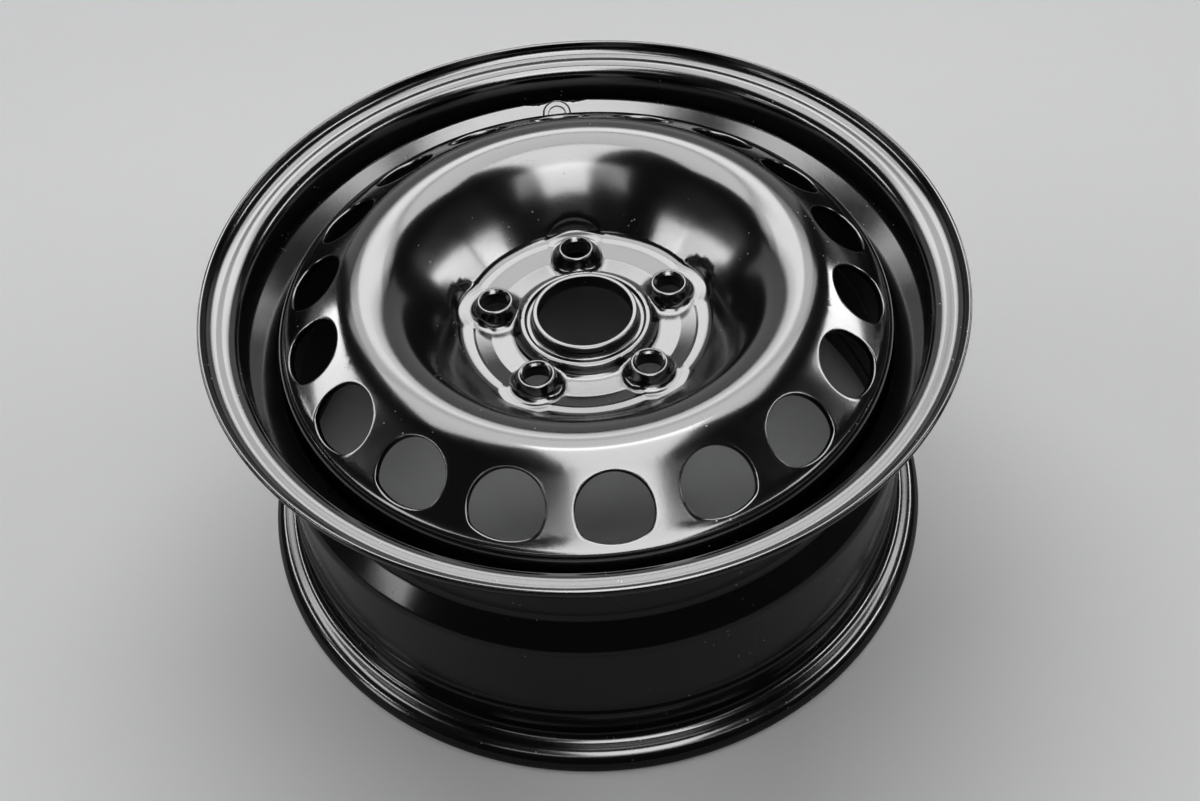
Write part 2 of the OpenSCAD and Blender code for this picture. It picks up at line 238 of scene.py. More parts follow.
def corner_arc(a, b, c, r, step):
    """The arc of radius r that rounds corner b of the path a, b, c."""
    back, ahead = unit(a - b), unit(c - b)
    half = math.acos(max(-1.0, min(1.0, float(back @ ahead)))) / 2
    centre = b + unit(back + ahead) * r / math.sin(half)
    start = b + back * r / math.tan(half) - centre
    sweep = -np.sign(back[0] * ahead[1] - back[1] * ahead[0]) * (math.pi - 2 * half)
    steps = max(2, math.ceil(abs(sweep) / step))
    return [centre + turned(start, sweep * i / steps) for i in range(steps + 1)]


def bent(path, step=math.radians(9.6), guard=0.5 * MM, reach=11 * MM):
    """Rows of a sheet's face: every bend drawn, and straight parts guarded near their ends."""
    flat = [np.array(p[:2], float) for p in path]
    rows = []
    for i, p in enumerate(path):
        inner = 0 < i < len(path) - 1 and p[2] > 0
        arc = corner_arc(flat[i - 1], flat[i], flat[i + 1], p[2], step) if inner else [flat[i]]
        if rows:
            start, end = rows[-1], arc[0]
            way = np.hypot(*(end - start))
            if way > 3 * guard:
                n = max(1, math.ceil((way - 2 * guard) / reach))
                stops = [guard + (way - 2 * guard) * k / n for k in range(n + 1)]
                rows += [start + (end - start) * s / way for s in stops]
        rows += arc
    return np.array(rows)


def beside(path, t):
    """The path that runs a distance t beside another, on its left."""
    flat = [np.array(p[:2], float) for p in path]
    last = len(path) - 1
    side = []
    for i, p in enumerate(path):
        after = unit(flat[i + 1] - flat[i]) if i < last else None
        before = unit(flat[i] - flat[i - 1]) if i else after
        after = before if after is None else after
        n1, n2 = np.array([-before[1], before[0]]), np.array([-after[1], after[0]])
        q = flat[i] + t * (n1 + n2) / (1 + n1 @ n2)
        bend = p[2] - t * np.sign(before[0] * after[1] - before[1] * after[0])
        side.append((q[0], q[1], max(bend, 0.3 * MM) if p[2] else 0))
    return side


def eased(path, low, high, row_way, spread=2.6 * MM):
    """A face's fine profile and its mesh rows, with soft bends between two radii."""
    fine, rows = bent(path, math.radians(1.5), reach=0.4 * MM), bent(path)
    cell, fade = 0.1 * MM, 6 * MM
    grid = np.arange(low - 4 * spread, high + 4 * spread, cell)
    z = np.interp(grid, fine[:, 0], fine[:, 1])
    kernel = np.exp(-(np.arange(-80, 81) * cell / spread) ** 2 / 2)
    soft = np.convolve(z, kernel / kernel.sum(), "same")
    softness = smooth_step(low, low + fade, grid) * (1 - smooth_step(high - fade, high, grid))
    z = z + (soft - z) * softness

    def swapped(old, radii):
        middle = np.stack([radii, np.interp(radii, grid, z)], 1)
        return np.concatenate([old[old[:, 0] <= low], middle, old[old[:, 0] >= high]])

    return (Profile(swapped(fine, np.arange(low + 0.2 * MM, high - 0.1 * MM, 0.2 * MM))),
            swapped(rows, np.arange(low + MM, high - 0.7 * MM, row_way)))


def half_round(a, b, steps=8):
    """The half round that closes a sheet's end from point a to point b."""
    centre = (a + b) / 2
    return np.array([centre + turned(a - centre, math.pi * i / steps) for i in range(1, steps)])


class Profile:
    """A sheet's face as rows of (r, z), with the way along them."""

    def __init__(self, rows):
        self.rows = np.asarray(rows, float)
        steps = np.hypot(*np.diff(self.rows, axis=0).T)
        self.way = np.concatenate([[0.0], np.cumsum(steps)])

    def at(self, way):
        return (np.interp(way, self.way, self.rows[:, 0]), np.interp(way, self.way, self.rows[:, 1]))

    def point(self, way, azimuth):
        """The place at a way along the face, turned round the axis."""
        r, z = self.at(way)
        return np.stack([r * np.cos(azimuth), r * np.sin(azimuth), z], -1)

    def z(self, r):
        return np.interp(r, self.rows[:, 0], self.rows[:, 1])

    def way_of(self, r):
        return np.interp(r, self.rows[:, 0], self.way)


# Meshes of sheet metal

class Skin:
    """Collects the points and faces of one sheet-metal piece."""

    def __init__(self):
        self.points = []
        self.faces = []
        self.count = 0

    def add(self, points):
        """Adds an array of points (..., 3) and returns their numbers in the same shape."""
        points = np.asarray(points, float)
        shape = points.shape[:-1]
        self.points.append(points.reshape(-1, 3))
        numbers = np.arange(self.count, self.count + math.prod(shape)).reshape(shape)
        self.count += math.prod(shape)
        return numbers

    def band(self, a, b):
        """Quads between two loops with the same number of points."""
        a, b = np.append(a, a[0]), np.append(b, b[0])
        self.faces += np.stack([a[:-1], a[1:], b[1:], b[:-1]], 1).tolist()

    def nest(self, loops):
        """Adds loops of points, joins each to the next, and returns the first one's numbers."""
        numbers = [self.add(loop) for loop in loops]
        for a, b in zip(numbers, numbers[1:]):
            self.band(a, b)
        return numbers[0]

    def revolve(self, rows, azimuths, skip=None):
        """A surface of revolution, closed round the axis, without the cells that skip marks."""
        rows = np.asarray(rows)
        points = np.empty((len(rows), len(azimuths), 3))
        points[..., 0] = rows[:, 0, None] * np.cos(azimuths)
        points[..., 1] = rows[:, 0, None] * np.sin(azimuths)
        points[..., 2] = rows[:, 1, None]
        n = self.add(points)
        n = np.concatenate([n, n[:, :1]], 1)
        quads = np.stack([n[:-1, :-1], n[:-1, 1:], n[1:, 1:], n[1:, :-1]], -1)
        keep = np.ones(quads.shape[:2], bool) if skip is None else ~skip
        self.faces += quads[keep].tolist()

    def make(self, name, material, replaced):
        """Joins everything to one closed mesh and hands it to the frame."""
        mesh = bpy.data.meshes.new(name)
        mesh.from_pydata(np.concatenate(self.points).tolist(), [], self.faces)
        close_mesh(mesh, merge=2e-6)
        finish_mesh(mesh, material)
        piece = bpy.data.objects.new(name, mesh)
        bpy.context.scene.collection.objects.link(piece)
        hand_over(piece, replaced)


def close_mesh(mesh, merge):
    """Merges points closer than a distance, turns the faces outwards and allows no open edge."""
    bm = bmesh.new()
    bm.from_mesh(mesh)
    bmesh.ops.remove_doubles(bm, verts=bm.verts, dist=merge)
    loose = [v for v in bm.verts if not v.link_faces]
    bmesh.ops.delete(bm, geom=loose, context="VERTS")
    bmesh.ops.dissolve_degenerate(bm, dist=1e-7, edges=bm.edges)
    bmesh.ops.recalc_face_normals(bm, faces=bm.faces)
    open_edges = sum(not e.is_manifold for e in bm.edges)
    bm.to_mesh(mesh)
    bm.free()
    if open_edges or not len(mesh.polygons):
        raise RuntimeError(f"{mesh.name}: {len(mesh.polygons)} faces, {open_edges} open edges")


def finish_mesh(mesh, material, crisp=math.radians(44)):
    """Smooth shading with crisp edges, and the material."""
    mesh.shade_smooth()
    mesh.set_sharp_from_angle(angle=crisp)
    mesh.materials.clear()
    mesh.materials.append(material)


def hand_over(piece, replaced):
    """The piece rides on the wheel's one body and stands for its CAD node."""
    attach(piece, "root")
    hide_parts(*replaced)


def patch_border(rows, azimuths, first_row, last_row, first_column, last_column):
    """Way and azimuth of the grid points round a patch, as one closed loop."""
    columns = azimuths[first_column:last_column + 1]
    ways = rows[first_row:last_row + 1]
    loop = [(ways[0], a) for a in columns]
    loop += [(w, columns[-1]) for w in ways[1:]]
    loop += [(ways[-1], a) for a in columns[-2::-1]]
    loop += [(w, columns[0]) for w in ways[-2:0:-1]]
    return np.array(loop)


def smooth_step(low, high, x):
    t = np.clip((x - low) / (high - low), 0, 1)
    return t * t * (3 - 2 * t)


def smooth_max(a, b, k):
    return np.maximum(a, b) + np.maximum(k - np.abs(a - b), 0) ** 2 / (4 * k)


# Rim

class RimForm:
    """Contour, rows and valve pad of the rolled rim."""

    def __init__(self, s, offset):
        seat_r = s.seat_d / 2
        self.edge_r = edge_r = seat_r + s.flange_h
        seat_end_r = seat_r - s.seat_w * math.tan(s.seat_taper)
        hump_r = seat_end_r + s.hump_h
        hump_way = s.seat_w + s.hump_rise
        self.well_r = well_r = seat_r - s.well_depth
        centre, face = -offset, s.width / 2
        out_hump_z = centre + face - hump_way
        self.well_top = well_top = out_hump_z - (hump_r - well_r) / math.tan(s.outboard_wall)
        well_bottom = well_top - s.well_w
        ledge_r = well_r + s.ledge_h
        ledge_top = well_bottom - s.ledge_h / math.tan(s.inboard_wall)
        ledge_end = centre - face + hump_way + 3.4 * MM
        ledge_end_r = ledge_r + (ledge_top - ledge_end) * math.tan(s.ledge_taper)

        def bead(side):
            return [(r, centre + side * z, bend) for r, z, bend in (
                (edge_r, face + s.flange_w - s.sheet / 2, 0),
                (edge_r, face, s.flange_curl),
                (seat_r, face, s.seat_fillet),
                (seat_end_r, face - s.seat_w, 3 * MM),
                (hump_r, face - hump_way, 4.2 * MM))]

        path = bead(-1) + [
            (ledge_end_r, ledge_end, 4 * MM), (ledge_r, ledge_top, s.well_bend),
            (well_r, well_bottom, s.well_bend), (well_r, well_top, s.well_bend)] + bead(1)[::-1]
        self.tyre = Profile(bent(path))
        self.weather = Profile(bent(beside(path, s.sheet)))
        lean = math.pi / 2 - s.outboard_wall
        self.valve_at = np.array([0, (hump_r + well_r) / 2 - s.sheet * math.sin(lean),
                                  (out_hump_z + well_top) / 2 + s.sheet * math.cos(lean)])
        self.valve_out = np.array([0, -math.sin(lean), math.cos(lean)])
        self.valve_up = np.array([0, math.cos(lean), math.sin(lean)])
        self.azimuths = self.columns(s.butt_weld)
        self.s = s

    def columns(self, weld):
        """Azimuths of the mesh's columns, closer together at the butt weld."""
        even = np.radians(np.arange(COLUMNS) * 360 / COLUMNS)
        near = weld + np.radians([-0.55, -0.4, -0.27, -0.14, 0, 0.14, 0.27, 0.4, 0.55])
        apart = np.abs(even - weld) > math.radians(0.62)
        return np.sort(np.concatenate([even[apart], near]))

    def pad(self, points, weather):
        """Presses the flat valve pad into points on one face of the wall."""
        s = self.s
        edge = s.valve_pad_d / 2
        q = points - self.valve_at
        height = q @ self.valve_out
        across = np.hypot(q[..., 0], q @ self.valve_up)
        if weather:
            target, low, high = s.valve_pad_lift, edge - 0.5 * MM, edge + 0.6 * MM
        else:
            target = s.valve_pad_lift - s.sheet
            low, high = edge - s.sheet / 2 - 0.6 * MM, edge + 0.2 * MM
        lift = (target - height) * (1 - smooth_step(low, high, across))
        return points + lift[..., None] * self.valve_out


def build_rim(form, material):
    skin = Skin()
    faces = [rim_face(skin, form, form.tyre, False), rim_face(skin, form, form.weather, True)]
    join_loops(skin, *faces)
    for a, b in ((form.weather.rows[0], form.tyre.rows[0]), (form.tyre.rows[-1], form.weather.rows[-1])):
        skin.revolve(np.concatenate([[a], half_round(a, b), [b]]), form.azimuths)
    weld_press(skin, form)
    skin.make("rolled_rim", material, ["rim"])


def rim_face(skin, form, profile, weather):
    """One face of the rim, with rings round the valve hole, and the loop of that hole's edge."""
    s, azimuths = form.s, form.azimuths
    centre = form.valve_at - (0 if weather else s.sheet) * form.valve_out
    nearest = np.argmin(np.hypot(profile.rows[:, 0] - centre[1], profile.rows[:, 1] - centre[2]))
    fine = np.linspace(profile.way[nearest - 1], profile.way[nearest + 1], 400)
    r, z = profile.at(fine)
    middle_way = fine[np.argmin(np.hypot(r - centre[1], z - centre[2]))]
    low = np.searchsorted(profile.way, middle_way - VALVE_REACH) - 1
    high = np.searchsorted(profile.way, middle_way + VALVE_REACH)
    middle = int(np.argmin(np.abs(azimuths - math.pi / 2)))
    columns = (middle - VALVE_COLUMNS, middle + VALVE_COLUMNS)
    skip = np.zeros((len(profile.rows) - 1, len(azimuths)), bool)
    skip[low:high, columns[0]:columns[1]] = True
    skin.revolve(profile.rows, azimuths, skip)
    border = patch_border(profile.way, azimuths, low, high, *columns)
    r_border = profile.at(border[:, 0])[0]
    aim = np.arctan2((border[:, 1] - math.pi / 2) * r_border, border[:, 0] - middle_way)

    def loop(radius):
        way = middle_way + radius * np.cos(aim)
        return np.stack([way, math.pi / 2 + radius * np.sin(aim) / profile.at(way)[0]], 1)

    def pressed(spots):
        return form.pad(profile.point(*spots.T), weather)

    hole, edge = s.valve_hole_d / 2, 0.35 * MM
    inwards = form.valve_out * (-1 if weather else 1)
    rings = [pressed(loop(radius)) + sink * inwards
             for radius, sink in ((hole, edge), (hole + 0.3 * edge, 0.3 * edge), (hole + edge, 0))]
    radii = [hole + 1.1 * MM] + [s.valve_pad_d / 2 + step * MM for step in VALVE_STEPS]
    rings += [pressed(loop(radius)) for radius in radii]
    last = loop(radii[-1])
    rings += [pressed(last + (border - last) * t) for t in (0.35, 0.7, 1.0)]
    return aim, skin.nest(rings)


def join_loops(skin, first, second):
    """Faces between two loops round one hole, which may have different numbers of points."""
    (aim_a, a), (aim_b, b) = first, second
    if len(a) == len(b):
        skin.band(a, b)
        return
    a = a[np.argsort(np.unwrap(aim_a) % (2 * math.pi))].tolist()
    b = b[np.argsort(np.unwrap(aim_b) % (2 * math.pi))].tolist()
    turn_a, turn_b = np.sort(aim_a % (2 * math.pi)), np.sort(aim_b % (2 * math.pi))
    i = j = 0
    while i < len(a) or j < len(b):
        next_a = turn_a[(i + 1) % len(a)] + 2 * math.pi * ((i + 1) // len(a))
        next_b = turn_b[(j + 1) % len(b)] + 2 * math.pi * ((j + 1) // len(b))
        corner_a, corner_b = a[i % len(a)], b[j % len(b)]
        if j >= len(b) or (i < len(a) and next_a <= next_b):
            i += 1
            skin.faces.append([corner_a, a[i % len(a)], corner_b])
        else:
            j += 1
            skin.faces.append([corner_a, b[j % len(b)], corner_b])


def weld_press(skin, form):
    """Leaves the trimmed ridge of the butt weld along the whole contour."""
    for block in skin.points:
        azimuth = np.arctan2(block[:, 1], block[:, 0]) % (2 * math.pi)
        r = np.hypot(block[:, 0], block[:, 1])
        off = (azimuth - form.s.butt_weld + math.pi) % (2 * math.pi) - math.pi
        across = off * r
        ridge = np.exp(-(across / (0.7 * MM)) ** 2) * 0.09 * MM
        inside = r < form.edge_r - 1.5 * MM
        block[:, :2] -= (np.where(inside, ridge, 0) / r)[:, None] * block[:, :2]


# Disc

def even_turns(count):
    """Angles of things spaced evenly round the axis, the first one at +Y."""
    return [math.pi / 2 + 2 * math.pi * i / count for i in range(count)]


class DiscForm:
    """Outboard and hub faces of the pressed disc."""

    def __init__(self, d, rim):
        self.d = d
        self.skirt_r = skirt_r = rim.well_r - rim.s.sheet
        self.skirt_end = rim.well_top - d.skirt_grip
        shoulder_r = skirt_r - d.shoulder_w
        crown_outer_r = d.bowl_top_r + d.crown_w
        shoulder_z = d.crown_z - (shoulder_r - crown_outer_r) * math.tan(d.slope)
        skirt_top = shoulder_z - d.shoulder_w * math.tan(d.shoulder_slope)
        self.pad_z = pad_z = d.sheet
        edge_z = pad_z + d.pad_rise
        foot_z = edge_z + d.pad_step + 0.6 * MM
        self.vent_z = d.crown_z - (d.vent_r - crown_outer_r) * math.tan(d.slope)
        bore_r = d.bore_d / 2
        collar_r = bore_r + d.collar_wall
        groove_z = d.ring_z - 1.7 * MM
        lip_z = d.ring_z - d.sheet - MM
        ring, half, flank = d.ring_r, 1.5 * MM, 1.2 * MM
        edge = 0.6 * MM
        collar = [
            (bore_r, lip_z + 6 * MM, 0),
            (bore_r, d.collar_z, edge),
            (collar_r, d.collar_z, 1.2 * MM),
            (collar_r + 0.8 * MM, groove_z, 1.6 * MM),
            (ring - half - flank, groove_z, 0.8 * MM),
            (ring - half, d.ring_z, 0.8 * MM),
            (ring + half, d.ring_z, 2 * MM)]
        pad = [
            (d.face_inner_r - 0.8 * MM, pad_z, 5.5 * MM),
            (d.pad_flat_r, pad_z, 3 * MM),
            (d.pad_r - 4.2 * MM, edge_z, 1.2 * MM),
            (d.pad_r - 2.8 * MM, edge_z + d.pad_step, MM)]
        hub_side = [(d.face_inner_r, pad_z, 3 * MM), (d.face_outer_r, pad_z, 8 * MM),
                    (d.pad_r - 0.8 * MM, edge_z, 2 * MM)]
        bowl = [
            (d.bowl_foot_r, foot_z, d.bowl_foot_bend),
            (d.bowl_mid_r, d.bowl_mid_z, 150 * MM),
            (d.bowl_top_r, d.crown_z, d.crown_inner_bend),
            (crown_outer_r, d.crown_z, d.crown_outer_bend),
            (shoulder_r, shoulder_z, 8 * MM),
            (skirt_r, skirt_top, d.skirt_bend),
            (skirt_r, self.skirt_end, 0)]
        under = beside(collar + hub_side + bowl, -d.sheet)[len(collar):]
        lip = [(bore_r, lip_z + 6 * MM, 0), (bore_r, lip_z, 3 * MM), (ring, lip_z, 2 * MM)]
        # The bowl's bends are soft between these radii, with rows of mesh this way apart
        self.top, self.top_rows = eased(collar + pad + bowl, 79 * MM, 136 * MM, 1.8 * MM)
        self.under, self.under_rows = eased(lip + under, 82 * MM, 134 * MM, 3 * MM)
        # Radii between which the hub is a quilt of triangles, and each face has its vents
        self.hub_inner, self.hub_outer = ring, 88 * MM
        self.top_zone = (139.5 * MM, skirt_r - 4.2 * MM)
        self.under_zone = (137.5 * MM, skirt_r - 5.9 * MM)
        self.bolt_r = d.bolt_circle_d / 2
        self.boss_profiles()

    def boss_profiles(self):
        """Outside and hollow of a boss, as heights over the distance from the bolt's axis."""
        d = self.d
        hole = d.bolt_hole_d / 2
        opening = d.boss_top_r - 1.4 * MM
        ball_z = d.boss_z + math.sqrt(d.ball_r ** 2 - opening ** 2)
        seat = [(r, ball_z - math.sqrt(d.ball_r ** 2 - r * r), 0)
                for r in np.linspace(hole, opening, 7)]
        seat[-1] = (opening, d.boss_z, 0.25 * MM)
        self.boss = Profile(bent(seat + [
            (d.boss_top_r, d.boss_z, 1.2 * MM),
            (d.boss_foot_r - 5 * MM, self.pad_z, d.boss_fillet),
            (d.boss_foot_r + 0.2 * MM, self.pad_z, 0)], guard=0.3 * MM, reach=2 * MM))
        wall, mouth = 0.9 * d.sheet, 1.8 * MM
        top_z, top_r = d.boss_z - d.sheet, d.boss_top_r + 1.2 * MM - wall
        waist_r = d.boss_foot_r - 8.5 * MM
        self.hollow = Profile(bent([
            (hole, top_z, 0), (top_r, top_z, MM), (waist_r, mouth, 3 * MM),
            (waist_r + mouth + MM, -MM, 0)], guard=0.3 * MM, reach=3 * MM))

    def bolts(self):
        turns = even_turns(self.d.bolt_count)
        return [(self.bolt_r * math.cos(t), self.bolt_r * math.sin(t)) for t in turns]

    def profile_r(self, x, y):
        """Radius at which the profile is read for a place, so that the pad's outline has its lobes."""
        d = self.d
        r = np.hypot(x, y)
        inside = d.pad_r - r
        for bx, by in self.bolts():
            inside = smooth_max(inside, d.lobe_r - np.hypot(x - bx, y - by), 0.8 * MM)
        return r + (d.pad_r - inside - r) * smooth_step(-LOBE_FADE, -2 * MM, inside)

    def top_z(self, x, y):
        """Height of the outboard face over a place near the hub."""
        z = self.top.z(self.profile_r(x, y))
        off_ring = smooth_step(self.hub_inner, self.hub_inner + 3 * MM, np.hypot(x, y))
        top_r = self.d.boss_top_r
        for bx, by in self.bolts():
            away = np.hypot(x - bx, y - by)
            z = self.pad_z + (z - self.pad_z) * smooth_step(top_r, top_r + 2.5 * MM, away)
            hill = np.interp(away, self.boss.rows[:, 0], self.boss.rows[:, 1] - self.pad_z, right=0)
            z = z + hill * off_ring
        return z

    def under_z(self, x, y):
        """Height of the hub face over a place near the hub."""
        z = self.under.z(self.profile_r(x, y))
        for bx, by in self.bolts():
            away = np.hypot(x - bx, y - by)
            hill = np.interp(away, self.hollow.rows[:, 0], self.hollow.rows[:, 1], right=-1)
            z = smooth_max(z, hill, 1.2 * MM)
        return z

    def vent_reach(self, aim):
        """Distance from a vent's middle to its outline, along an angle from its outer side."""
        d = self.d
        r, c = d.vent_d / 2, d.vent_corner_r
        flat_x = r - d.vent_flat - d.vent_flat_r
        from_middle, from_flat = r - c, d.vent_flat_r - c
        cx = (from_middle ** 2 - from_flat ** 2 + flat_x ** 2) / (2 * flat_x)
        cy = math.sqrt(from_middle ** 2 - cx ** 2)
        join = math.atan2(cy, cx)
        ease = unit(np.array([cx - flat_x, cy])) * d.vent_flat_r + np.array([flat_x, 0])
        ease = math.atan2(ease[1], ease[0])

        def ray(px, py, radius):
            dot = px * np.cos(aim) + py * np.abs(np.sin(aim))
            return dot + np.sqrt(np.maximum(dot ** 2 - (px ** 2 + py ** 2 - radius ** 2), 0))

        turn = np.abs((aim + math.pi) % (2 * math.pi) - math.pi)
        reach = np.where(turn > join, r, ray(cx, cy, c))
        return np.where(turn < ease, ray(flat_x, 0, d.vent_flat_r), reach)

    def vent_point(self, profile, u, v, sink):
        """The place on a face over (u, v) of the vent's own plane, on the +X side, moved by sink."""
        sin, cos = math.sin(self.d.slope), math.cos(self.d.slope)
        low, high = np.full_like(u, -14 * MM), np.full_like(u, 14 * MM)
        for _ in range(40):
            w = (low + high) / 2
            x = self.d.vent_r + u * cos + w * sin
            z = self.vent_z - u * sin + w * cos
            over = z > profile.z(np.hypot(x, v))
            high, low = np.where(over, w, high), np.where(over, low, w)
        x, z = x + sink * sin, z + sink * cos
        return np.stack([x, v, z], -1)


def ring_of_points(radii, count):
    """The points of rings round the origin, one ring after the other."""
    turns = 2 * np.pi * np.arange(count) / count
    return np.stack([np.outer(radii, np.cos(turns)), np.outer(radii, np.sin(turns))], -1).reshape(-1, 2)


def hub_quilt(skin, form, rows, height, boss, lobe_rings, widen):
    """The hub zone of one face, triangulated between the hub ring, the bowl and the bolt holes."""
    d = form.d
    hole = d.bolt_hole_d / 2
    inner, outer, pad_end = form.hub_inner, form.hub_outer, 72 * MM
    radii = [r for r in rows[:, 0] if inner + 0.2 * MM < r < outer - 0.3 * MM]
    for low, high, way in ((inner, pad_end, 1.9 * MM * widen), (pad_end, outer, 1.6 * MM * widen)):
        for r in np.arange(low + way, high - way / 2, way):
            if np.abs(np.array(radii) - r).min() > 0.7 * MM:
                radii.append(r)
    border = ring_of_points([inner, outer], COLUMNS)
    field = ring_of_points(sorted(radii), COLUMNS)
    boss_end = d.boss_foot_r + 0.3 * MM

    def bolt_owns(places, bx, by, margin=0.0):
        """Whether the rings round a bolt and not those round the hub shape a place."""
        away = np.hypot(places[:, 0] - bx, places[:, 1] - by) - margin
        r = np.hypot(places[:, 0], places[:, 1])
        lobe = (d.lobe_r - away > d.pad_r - r - 1e-9) & (away < lobe_rings[-1] + 1e-9)
        return ((away < boss_end) & (r > inner + 0.4 * MM)) | (lobe & (r > form.bolt_r))

    edges, rings = [], []
    for bx, by in form.bolts():
        field = field[~bolt_owns(field, bx, by, 0.5 * MM)]
        edges.append(ring_of_points([hole], BOLT_COLUMNS) + (bx, by))
        near = [r for r in boss.rows[:, 0] if hole + 0.1 * MM < r < boss_end - 0.3 * MM]
        places = ring_of_points(near + lobe_rings, BOLT_COLUMNS) + (bx, by)
        rings.append(places[bolt_owns(places, bx, by)])
    points = np.concatenate([border, *edges, field, *rings])
    found, _, triangles, sources, *_ = delaunay_2d_cdt(
        [Vector(p) for p in (points * 1000).tolist()], [], [], 0, 1e-5)
    flat = np.array([tuple(v) for v in found]) * MM
    for i, own in enumerate(sources):
        if own:
            flat[i] = points[own[0]]
    triangles = np.array(triangles)
    middle = flat[triangles].mean(1)
    r = np.hypot(*middle.T)
    keep = (r > inner) & (r < outer)
    hole_side = hole * math.cos(math.pi / BOLT_COLUMNS)
    for bx, by in form.bolts():
        keep &= np.hypot(middle[:, 0] - bx, middle[:, 1] - by) > hole_side
    numbers = skin.add(np.column_stack([flat, height(*flat.T)]))
    skin.faces += numbers[triangles[keep]].tolist()


def build_disc(form, material):
    d = form.d
    skin = Skin()
    azimuths = np.radians(np.arange(COLUMNS) * 360 / COLUMNS)
    tops = disc_face(skin, form, azimuths, form.top, form.top_rows, form.top_zone, d.vent_edge, -1)
    unders = disc_face(skin, form, azimuths, form.under, form.under_rows, form.under_zone, 0.35 * MM, 1)
    for top, under in zip(tops, unders):
        join_loops(skin, top, under)
    skin.revolve(np.array([form.top.rows[-1], form.under.rows[-1]]), azimuths)
    lobe_rings = [d.lobe_r + step * MM for step in LOBE_STEPS]
    hub_quilt(skin, form, form.top_rows, form.top_z, form.boss, lobe_rings, 1.0)
    hub_quilt(skin, form, form.under_rows, form.under_z, form.hollow, lobe_rings[::2], 1.8)
    for bx, by in form.bolts():
        circle = ring_of_points([d.bolt_hole_d / 2], BOLT_COLUMNS) + (bx, by)
        skin.nest([np.column_stack([circle, np.full(len(circle), z)])
                   for z in (form.boss.rows[0, 1], form.hollow.rows[0, 1])])
    skin.make("pressed_disc", material, ["disc"])


def disc_face(skin, form, azimuths, face, face_rows, zone, edge, side):
    """One face of the disc with its vents but without the hub zone, and the loops of the vents."""
    d = form.d
    rows = graded(face, face_rows, form, zone)
    start, end = rows[:-1, 0], rows[1:, 0]
    hub = (start > form.hub_inner - 1e-7) & (end < form.hub_outer + 1e-7) & (end > start)
    vents = (start > zone[0] - 1e-7) & (end < zone[1] + 1e-7)
    skin.revolve(rows, azimuths, np.repeat((hub | vents)[:, None], COLUMNS, 1))
    profile = Profile(rows)
    first, last = np.flatnonzero(vents)[0], np.flatnonzero(vents)[-1] + 1
    half, span = math.pi / d.vent_count, COLUMNS // d.vent_count
    border = patch_border(profile.way, np.linspace(-half, half, span + 1), first, last, 0, span)
    aim = np.arctan2(border[:, 1] * d.vent_r, border[:, 0] - profile.way_of(d.vent_r))
    reach = form.vent_reach(aim)
    rings = []
    for t in (90, 60, 30, 0):
        out = reach + edge * (1 - math.sin(math.radians(t)))
        sink = edge * (1 - math.cos(math.radians(t)))
        rings.append(form.vent_point(profile, out * np.cos(aim), out * np.sin(aim), sink * side))
    x, y = rings[-1][:, 0], rings[-1][:, 1]
    base = np.stack([profile.way_of(np.hypot(x, y)), np.arctan2(y, x)], 1)
    rings += [profile.point(*(base + (border - base) * t).T) for t in (0.12, 0.34, 0.64, 1.0)]
    loops = []
    for turn in even_turns(d.vent_count):
        c, s = math.cos(turn), math.sin(turn)
        loops.append((aim, skin.nest(np.array(rings) @ np.array([[c, s, 0], [-s, c, 0], [0, 0, 1]]))))
    return loops


def graded(face, rows, form, zone):
    """A face's rows, with even ones in the vent zone and one at each end of the hub zone."""
    low, high = zone
    outside = rows[(rows[:, 0] < low - 0.3 * MM) | (rows[:, 0] > high + 0.3 * MM)]
    first = int(np.argmax(outside[:, 0] > high))
    start = int(np.argmax(outside[:, 0] > form.hub_inner - 5 * MM))
    collar, bowl = outside[:start], outside[start:first]
    ends = np.array([form.hub_inner, form.hub_outer])
    bowl = bowl[np.abs(bowl[:, 0, None] - ends).min(1) > 0.25 * MM]
    bowl = np.concatenate([bowl, np.stack([ends, face.z(ends)], 1)])
    bowl = bowl[np.argsort(bowl[:, 0])]
    radii = np.linspace(low, high, 13)
    vents = np.stack([radii, face.z(radii)], 1)
    return np.concatenate([collar, bowl, vents, outside[first:]])


# Node trees

class Value:
    """A value on its way through a node tree: Python's operators add the Math nodes."""

    def __init__(self, nodes, socket):
        self.nodes, self.socket = nodes, socket

    def maths(self, operation, other=0.0):
        return self.nodes.node("ShaderNodeMath", {"operation": operation}, [self, other])

    def __add__(self, other):
        return self.maths("ADD", other)

    __radd__ = __add__

    def __sub__(self, other):
        return self.maths("SUBTRACT", other)

    def __rsub__(self, other):
        return self.nodes.node("ShaderNodeMath", {"operation": "SUBTRACT"}, [other, self])

    def __mul__(self, other):
        return self.maths("MULTIPLY", other)

    __rmul__ = __mul__

    def above(self, edge, blur):
        """0 below the edge, 1 above it, with a soft change between."""
        return self.nodes.node(
            "ShaderNodeMapRange", {"interpolation_type": "SMOOTHSTEP"},
            {"Value": self, "From Min": edge - blur, "From Max": edge + blur})


class Nodes:
    """Adds the nodes of one tree."""

    def __init__(self, tree):
        self.tree = tree
        tree.nodes.clear()

    def node(self, kind, settings=None, values=None, output=0):
        """Adds a node: its settings first, then the values and links of its sockets."""
        made = self.tree.nodes.new(kind)
        for key, value in (settings or {}).items():
            setattr(made, key, value)
        pairs = values.items() if isinstance(values, dict) else enumerate(values or [])
        for key, value in pairs:
            if isinstance(value, Value):
                self.tree.links.new(value.socket, made.inputs[key])
            else:
                made.inputs[key].default_value = value
        return Value(self, made.outputs[output]) if len(made.outputs) else None


# Weld seams

